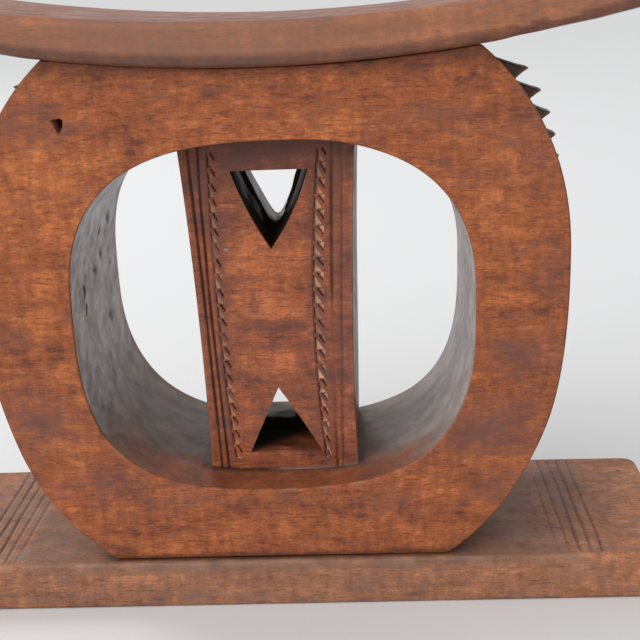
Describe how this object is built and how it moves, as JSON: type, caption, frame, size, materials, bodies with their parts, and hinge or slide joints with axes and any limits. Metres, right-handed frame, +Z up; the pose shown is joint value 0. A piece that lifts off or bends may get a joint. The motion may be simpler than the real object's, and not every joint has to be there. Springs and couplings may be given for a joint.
{
  "type": "headrest",
  "caption": "Carved wooden headrest: a deep O-shaped ring with a pierced column inside stands on a grooved base board and carries a dished platform for the head.",
  "frame": {"origin": "middle of the base board's underside, on the surface that the headrest stands on", "axes": "+Z up, +X along the width, and the front face of the ring and column towards -Y"},
  "size_m": [0.236, 0.072, 0.1766],
  "materials": {
    "base_wood": "hand-cut hardwood, greyer brown, dull satin",
    "ring_wood": "reddish-brown hardwood with streaks along the width, rubbed to a satin; the opening's wall is dark and gouge-cut",
    "column_wood": "reddish-brown hardwood, a little darker than the ring, satin",
    "platform_wood": "reddish-brown hardwood, polished by use on its upper side",
    "crest_wood": "dark reddish-brown hardwood, knife-cut teeth"
  },
  "bodies": {
    "root": {"base_board": "base_wood", "ring_support": "ring_wood", "central_column": "column_wood", "head_platform": "platform_wood", "left_toothed_crest": "crest_wood", "right_toothed_crest": "crest_wood"}
  },
  "joints": []
}
